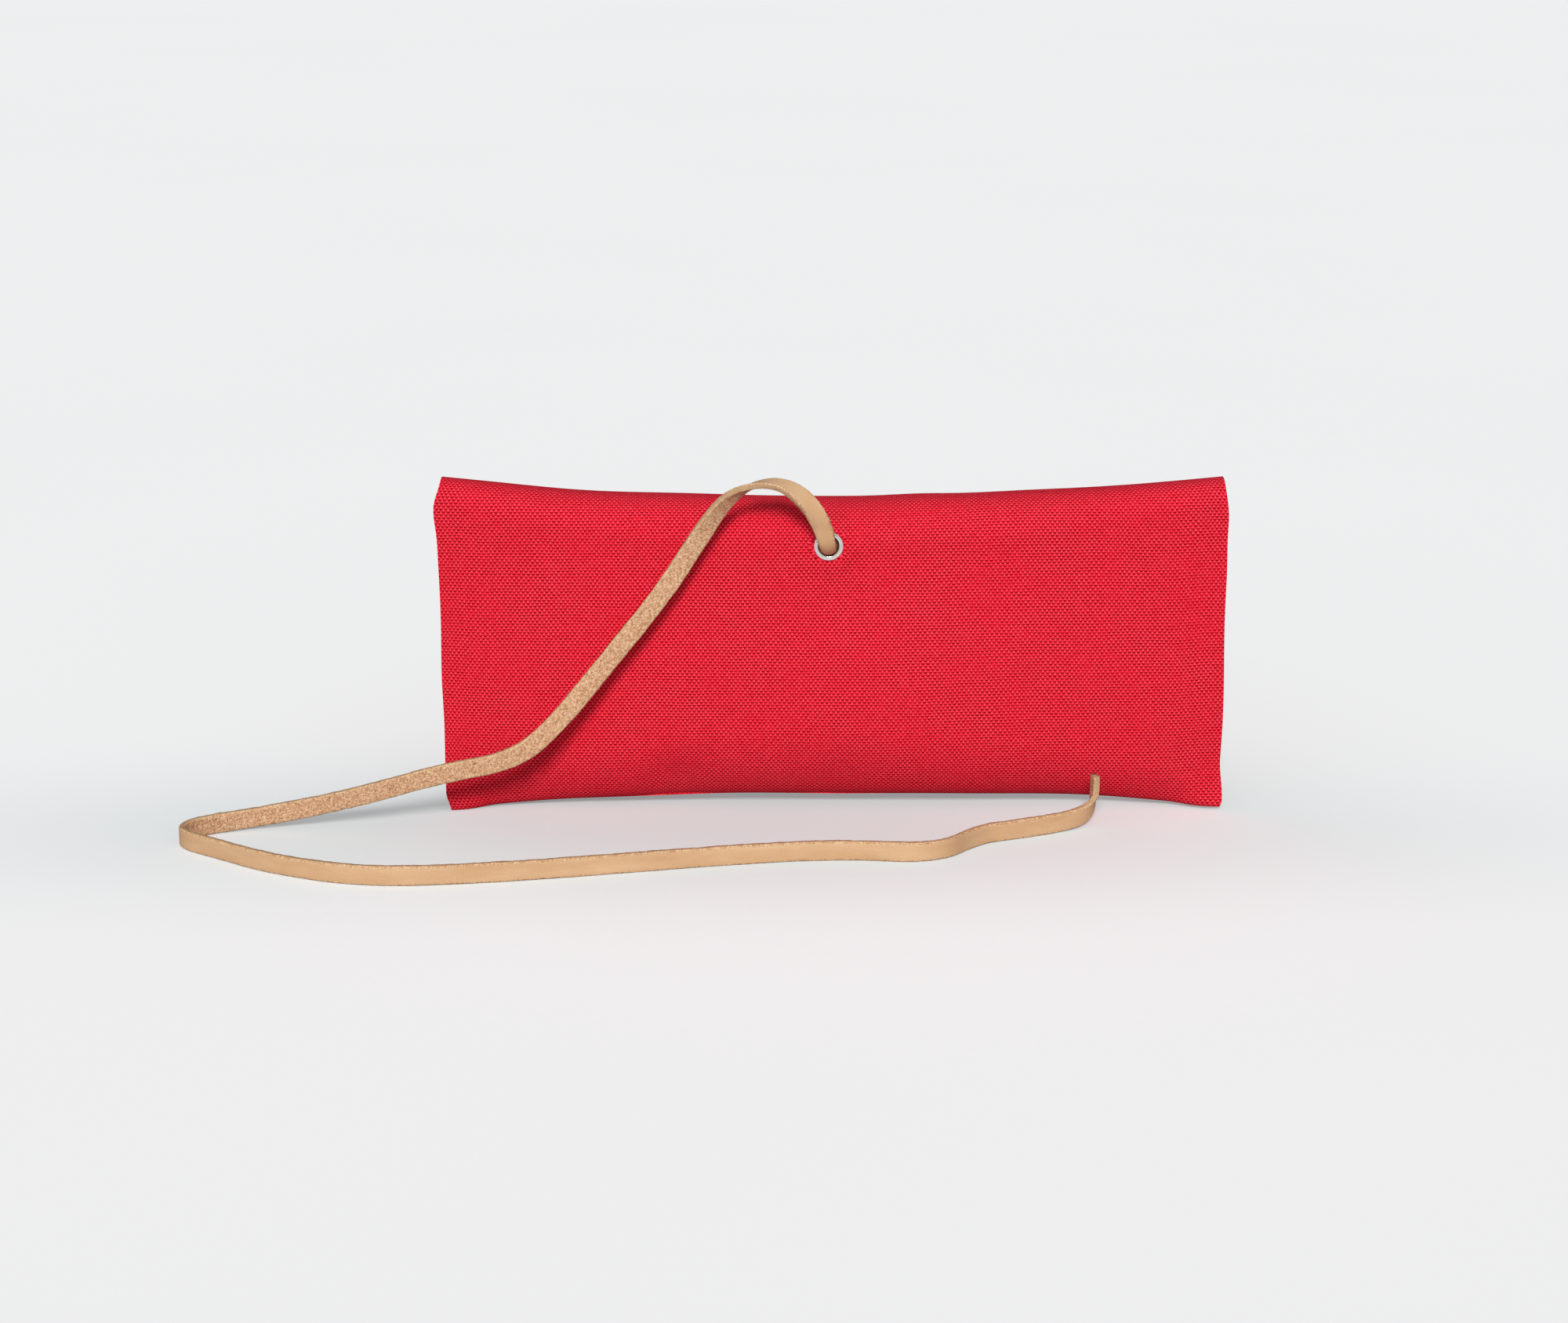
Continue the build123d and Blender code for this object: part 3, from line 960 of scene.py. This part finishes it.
def cross_fold(piece):
    """Puts the piece's placement into its mesh; the piece is not attached to a body."""
    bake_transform(piece)


panel = cloth_sheet(
    "canvas_panel_and_flap", panel_section, 0.0, panel_grid, half_width, True, False
)
thicken(panel, canvas, canvas_rounding, canvas_paint)
cross_fold(panel)
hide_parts("flap_canvas", "pouch_canvas")

pocket = cloth_sheet("canvas_pocket", pocket_section, 0.0, pocket_grid, half_width, True, True)
thicken(pocket, canvas, canvas_rounding, canvas_paint)
takes_over(pocket, "pouch", "pouch_canvas")

panel_lining = cloth_sheet(
    "lining_panel_and_flap",
    panel_section,
    lining_inset,
    panel_lining_grid,
    lining_half,
    False,
    False,
)
thicken(panel_lining, lining, lining_rounding, lining_paint)
cross_fold(panel_lining)
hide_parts("flap_lining", "pouch_lining")

pocket_lining = cloth_sheet(
    "lining_pocket", pocket_section, lining_inset, pocket_lining_grid, lining_half, False, True
)
thicken(pocket_lining, lining, lining_rounding, lining_paint)
takes_over(pocket_lining, "pouch", "pouch_lining")


# ---------------------------------------------------------------- seam allowances
def seam_ply(hand, wall, share):
    """One wall's edge, turned in and standing inside a side seam, in the space of the CAD node.
    share is how far the ply's face stands through the node's depth."""
    name, node = f"{hand}_seam_{wall}_ply", f"{hand}_seam_allowance"
    low, high = (Vector(corner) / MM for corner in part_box(node))
    outwards = 1 if high.x > 0 else -1
    columns, rows = 13, 61
    across = np.linspace(low.x, high.x, columns)
    up = np.linspace(low.z, high.z, rows)
    points, cloth = [], []
    for x in across:
        loose = (high.x - x if outwards > 0 else x - low.x) / (high.x - low.x)
        for z in up:
            wave = 0.22 * loose * sin(z / 6.0 + 3.0 * share)
            middle = front_y(x) + canvas + share * (high.y - low.y) + corner_lean(x, z) - belly(x, z)
            points.append((x + outwards * 0.15 * sin(z / 4.0), middle + wave, z))
            cloth.append((z, x, 0.0))
    ply = new_object(name, mesh_of(name, points, grid_faces(columns, rows), cloth))
    thicken(ply, ply_thickness, ply_rounding, canvas_paint)
    return takes_over(ply, "pouch", node)


hands = ("left", "right")
panel_plies = [seam_ply(hand, "panel", panel_ply_share) for hand in hands]
pocket_plies = [seam_ply(hand, "pocket", pocket_ply_share) for hand in hands]


# ---------------------------------------------------------------- sewing
def stitch_points(length, width, proud):
    """One stitch as a ring per station: it rises out of the cloth and dips back into it."""
    stations, sides = 7, 8
    points, faces = [], []
    for i in range(stations):
        t = i / (stations - 1)
        lift = proud * sin(pi * t) ** 0.5 - 0.4 * proud if 0 < i < stations - 1 else -1.1 * proud
        size = 0.5 * width * (0.75 + 0.25 * sin(pi * t))
        for k in range(sides):
            turn = 2 * pi * k / sides
            points.append(((t - 0.5) * length, size * cos(turn), lift + 0.8 * size * sin(turn)))
    for i in range(stations - 1):
        for k in range(sides):
            j = (k + 1) % sides
            faces.append((i * sides + k, i * sides + j, (i + 1) * sides + j, (i + 1) * sides + k))
    faces.append(tuple(range(sides))[::-1])
    faces.append(tuple(range((stations - 1) * sides, stations * sides)))
    return points, faces


def stitch_row(name, places):
    """Stitches at places: each is a centre, the way the row runs and the way out of the cloth."""
    shape, shape_faces = stitch_points(stitch_length, stitch_width, stitch_proud)
    points, faces, cloth = [], [], []
    for number, (centre, along, out) in enumerate(places):
        side = np.cross(out, along)
        first = len(points)
        for a, b, c in shape:
            points.append(centre + along * a + side * b + out * c)
            cloth.append((number * 3.0 + a, b, c))
        faces += [tuple(first + k for k in face) for face in shape_faces]
    row = new_object(name, mesh_of(name, points, faces, cloth))
    row.data.materials.append(thread_paint)
    return row


def hem_stitches(outer_y, z):
    """Places of a row of topstitches at height z, on the face whose y at each x is outer_y(x)."""
    count = int(2 * (half_width - hem_margin) / stitch_pitch)
    places = []
    for x in (np.arange(count) - 0.5 * (count - 1)) * stitch_pitch:
        ends = [outer_y(x + dx) for dx in (-1.0, 1.0)]
        along = np.array([2.0, ends[1] - ends[0], 0.0])
        along /= np.linalg.norm(along)
        out = np.array([-along[1], along[0], 0.0])
        places.append((np.array([x, outer_y(x), z]), along, out))
    return places


def run_length(section, x):
    """The length of the cloth's run at x, from the bottom seam to where the hem is turned in."""
    path = section(x, 0.0, False)
    return float(np.linalg.norm(np.diff(path, axis=0), axis=1).sum())


flap_row_z = flap_hem_z + hem_margin
pocket_row_z = mouth_z - hem_margin


def flap_outer_y(x):
    up_cloth = run_length(panel_section, x) + lining_end_z - flap_row_z
    return front_y(x) + taper(middle_depth, end_depth, x) + rumple(x, up_cloth)


def pocket_outer_y(x):
    up_cloth = run_length(pocket_section, x) + pocket_row_z - lining_top
    settled = corner_lean(x, pocket_row_z) - belly(x, pocket_row_z)
    return front_y(x) + pouch_depth(x) + settled + rumple(x, -up_cloth)


flap_thread = stitch_row("flap_hem_stitches", hem_stitches(flap_outer_y, flap_row_z))
takes_over(flap_thread, "flap", "flap_thread")
mouth_thread = stitch_row("mouth_hem_stitches", hem_stitches(pocket_outer_y, pocket_row_z))
takes_over(mouth_thread, "pouch", "mouth_thread")


def seam_stitches(hand):
    """A row of stitches up the face of the inner ply of a side seam's allowance."""
    low, high = (Vector(corner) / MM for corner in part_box(f"{hand}_seam_thread"))
    x = 0.5 * (low.x + high.x)
    count = int((high.z - low.z) / stitch_pitch) + 1
    face = front_y(x) + canvas + pocket_ply_share * (high.y - low.y)
    rise, inwards = np.array([0.0, 0.0, 1.0]), np.array([0.0, 1.0, 0.0])
    places = []
    for z in low.z + first_stitch + stitch_pitch * np.arange(count):
        places.append((np.array([x, face + corner_lean(x, z) - belly(x, z), z]), rise, inwards))
    row = stitch_row(f"{hand}_seam_stitches", places)
    return takes_over(row, "pouch", f"{hand}_seam_thread")


left_stitches, right_stitches = (seam_stitches(hand) for hand in hands)


# ---------------------------------------------------------------- what each sheet was cut from
def cut_length(section, turned):
    """The cloth's length across the pouch's width, on average, with the hem that is turned in."""
    lengths = [run_length(section, x) for x in np.linspace(-half_width, half_width, 21)]
    return (sum(lengths) / len(lengths) + turned) * MM


flap_hem = hem_width + lining_end_z - flap_hem_z
pocket_hem = hem_width + mouth_z - lining_top
cut_length(panel_section, flap_hem)
cut_length(pocket_section, pocket_hem)
cut_length(panel_section, 0.0)
cut_length(pocket_section, 0.0)


# ---------------------------------------------------------------- eyelet
def lathe(name, profile, paint, steps=72):
    """A closed profile of (distance from the axis, height over the panel) turned round the eyelet's
    axis."""
    count = len(profile)
    points, cloth = [], []
    for i in range(steps):
        turn = 2 * pi * i / steps
        way = np.array([cos(turn), 0.0, 0.0]) + eyelet_up * sin(turn)
        for r, h in profile:
            points.append(eyelet_centre + way * r + eyelet_out * h)
            cloth.append((r * turn, h, 0.0))
    faces = [
        (i * count + k, i * count + (k + 1) % count, j * count + (k + 1) % count, j * count + k)
        for i, j in ((i, (i + 1) % steps) for i in range(steps))
        for k in range(count)
    ]
    made = new_object(name, mesh_of(name, points, faces, cloth))
    made.data.materials.append(paint)
    return made


bore_radius = 2.5
barrel_radius = 2.9
washer_hole = 2.95


def ring_profile():
    """The flange with its rolled lip, the bore, the roll over the washer, and back up the barrel's
    outside."""
    rim = arc(3.34, 0.2, 0.4, -50, 162, 13, 0.38)
    lip = arc(2.82, 0.26, 0.32, 64, 116, 10, 0.34)
    bore = [(bore_radius, height) for height in (0.1, -1.2, -2.2)]
    roll = arc(2.95, -2.3, 0.45, 180, 180, 14)
    barrel = [(barrel_radius, height) for height in (-2.25, -1.2, -0.05)]
    return np.vstack([rim, lip, bore, roll, barrel])


def washer_profile():
    """A thin ring with a rounded rim."""
    rim = arc(3.75, -2.05, 0.15, -90, 180, 9, 0.2)
    return np.vstack([rim, [(washer_hole, -1.82), (washer_hole, -2.28)]])


eyelet = lathe("eyelet_ring", ring_profile(), nickel_paint)
washer = lathe("eyelet_back_washer", washer_profile(), nickel_paint)
takes_over(eyelet, "pouch", "eyelet")
takes_over(washer, "pouch", "eyelet_washer")

# ---------------------------------------------------------------- floor and light
floor_mesh = bpy.data.meshes.new("floor")
reach = 12.0
floor_mesh.from_pydata(
    [(-reach, -reach, 0.0), (reach, -reach, 0.0), (reach, reach, 0.0), (-reach, reach, 0.0)],
    [],
    [(0, 1, 2, 3)],
)
floor_mesh.materials.append(pale_floor())
floor = new_object("floor", floor_mesh)


key_rise = radians(30.0)
key_way = Vector((0.03, cos(key_rise), -sin(key_rise)))
key_data = bpy.data.lights.new("key", "SUN")
key_data.energy = 2.56
key_data.angle = radians(13.0)  # a wide sun, for shadows with soft edges
key_data.color = (1.0, 0.995, 0.985)
key = new_object("key", key_data)
key.rotation_euler = key_way.to_track_quat("-Z", "Y").to_euler()
# The world's strength in front of the pouch and level with it, and how much is left overhead
world_front, world_level, world_overhead = 0.9, 0.3, 0.6


def studio_world():
    """Soft light from all round, stronger from the camera's side of the room than from behind, and
    weaker from overhead."""
    world = bpy.data.worlds.new("studio")
    world.use_nodes = True
    nodes, links = world.node_tree.nodes, world.node_tree.links
    way = nodes.new("ShaderNodeSeparateXYZ")
    links.new(nodes.new("ShaderNodeTexCoord").outputs["Generated"], way.inputs[0])
    both = nodes.new("ShaderNodeMath")
    both.operation = "MULTIPLY"
    from_front = (way.outputs["Y"], -1.0, 0.0, world_front, world_level)
    from_above = (way.outputs["Z"], 0.0, 1.0, 1.0, world_overhead)
    for part, (source, *values) in zip(both.inputs, (from_front, from_above)):
        level = nodes.new("ShaderNodeMapRange")
        links.new(source, level.inputs[0])
        for socket, value in zip(level.inputs[1:5], values):
            socket.default_value = value
        links.new(level.outputs[0], part)
    back = nodes["Background"]
    back.inputs["Color"].default_value = (0.99, 0.99, 1.0, 1.0)
    links.new(both.outputs[0], back.inputs["Strength"])
    return world


bpy.context.scene.world = studio_world()
bpy.context.scene.view_settings.view_transform = "Standard"
